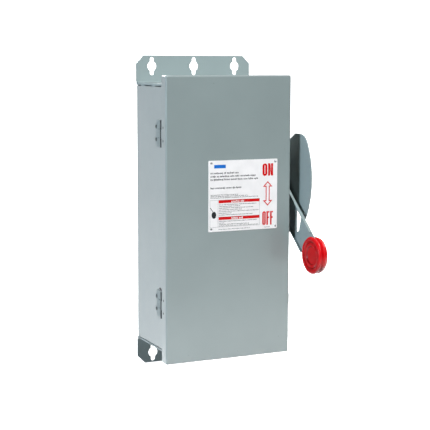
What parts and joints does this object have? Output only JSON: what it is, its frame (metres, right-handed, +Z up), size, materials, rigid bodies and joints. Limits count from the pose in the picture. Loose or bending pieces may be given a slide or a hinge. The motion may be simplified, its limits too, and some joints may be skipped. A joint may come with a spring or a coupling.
{
  "type": "ac disconnect box",
  "caption": "Wall-mounted fusible safety switch: grey sheet-steel case with an overlapping hinged cover, side handle with a round red grip, and switch blades and fuses inside.",
  "frame": {"origin": "middle of the mounting plane at the back, where the case meets the wall", "axes": "+Z up, +X to the right seen from the front, the front faces -Y"},
  "size_m": [0.2604, 0.2447, 0.551],
  "materials": {
    "case_paint": "semi-gloss baked grey enamel",
    "cover_paint": "semi-gloss baked grey enamel",
    "handle_paint": "semi-gloss baked grey enamel",
    "hinge_paint": "semi-gloss baked grey enamel",
    "dark_steel": "dark oxide",
    "zinc_steel": "zinc plated",
    "red_grip": "semi-gloss moulded",
    "nameplate_face": "satin printed film on a metal plate",
    "paper_sheet": "matte printed sheet",
    "foam_gasket": "closed-cell foam",
    "clear_plastic": "clear polished",
    "moulded_base": "moulded thermoset",
    "moulded_bar": "moulded thermoset",
    "fuse_fibre": "printed fibre tube",
    "plated_copper": "tin plated",
    "bare_copper": "bare copper",
    "lug_aluminium": "extruded",
    "green_screw": "green finish",
    "bush_brass": "turned"
  },
  "bodies": {
    "enclosure": {"case_wrapper": "case_paint", "top_end_wall": "case_paint", "bottom_end_wall": "case_paint", "box_seal_tab": "case_paint", "upper_box_hinge_leaf": "hinge_paint", "lower_box_hinge_leaf": "hinge_paint", "upper_hinge_pin": "dark_steel", "lower_hinge_pin": "dark_steel", "box_hinge_rivets": "hinge_paint", "shaft_bushing": "bush_brass", "bushing_nut": "zinc_steel", "handle_guard": "handle_paint", "guard_screws": "zinc_steel", "mechanism_frame": "zinc_steel", "operating_spring": "dark_steel", "rotor_bearing": "moulded_bar", "switch_base": "moulded_base", "fuse_base": "moulded_base", "base_screws": "zinc_steel", "line_contacts": "plated_copper", "load_contacts": "plated_copper", "fuse_contacts": "plated_copper", "fuse_tubes": "fuse_fibre", "fuse_caps": "plated_copper", "line_lugs": "lug_aluminium", "load_lugs": "lug_aluminium", "lug_screws": "zinc_steel", "shield_brackets": "moulded_bar", "ground_lug": "lug_aluminium", "ground_screw": "green_screw"},
    "door": {"cover": "cover_paint", "cover_gasket": "foam_gasket", "nameplate": "nameplate_face", "nameplate_rivets": "zinc_steel", "door_sheet": "paper_sheet", "upper_cover_hinge_leaf": "hinge_paint", "lower_cover_hinge_leaf": "hinge_paint", "cover_hinge_rivets": "hinge_paint", "interlock_hook": "zinc_steel"},
    "handle": {"handle_arm": "handle_paint", "grip_inner_half": "red_grip", "grip_outer_half": "red_grip", "grip_rivets": "zinc_steel", "handle_shaft": "zinc_steel", "handle_hub": "zinc_steel", "handle_nut": "zinc_steel", "retaining_ring": "zinc_steel", "handle_crank": "zinc_steel", "handle_crank_pin": "zinc_steel"},
    "link": {"link": "zinc_steel"},
    "rotor": {"rotor_crank": "zinc_steel", "rotor_crank_pin": "zinc_steel", "rotor_crossbar": "moulded_bar", "rotor_stub_shafts": "zinc_steel", "interlock_cam": "zinc_steel", "moving_blade_1": "bare_copper", "moving_blade_2": "bare_copper", "moving_blade_3": "bare_copper"},
    "line_shield": {"line_shield": "clear_plastic"}
  },
  "joints": [
    {"name": "cover_swing", "type": "hinge", "parent": "enclosure", "child": "door", "pos_m": [-0.1121, -0.1235, 0], "axis": [0, 0, -1], "range_deg": [0, 110]},
    {"name": "handle_swing", "type": "hinge", "parent": "enclosure", "child": "handle", "pos_m": [0.1, -0.058, 0.063], "axis": [-1, 0, 0], "range_deg": [0, 78]},
    {"name": "link_pivot", "type": "hinge", "parent": "handle", "child": "link", "pos_m": [0.0945, -0.07821, 0.04664], "axis": [-1, 0, 0], "range_deg": [-78, 0]},
    {"name": "rotor_turn", "type": "hinge", "parent": "enclosure", "child": "rotor", "pos_m": [0, -0.07, 0.111], "axis": [-1, 0, 0], "range_deg": [0, 78]},
    {"name": "shield_swing", "type": "hinge", "parent": "enclosure", "child": "line_shield", "pos_m": [0, -0.086, 0.192], "axis": [-1, 0, 0], "range_deg": [0, 55]}
  ],
  "couplings": [
    {"joint": "link_pivot", "follows": "handle_swing", "ratio": -1},
    {"joint": "rotor_turn", "follows": "handle_swing", "ratio": 1}
  ]
}
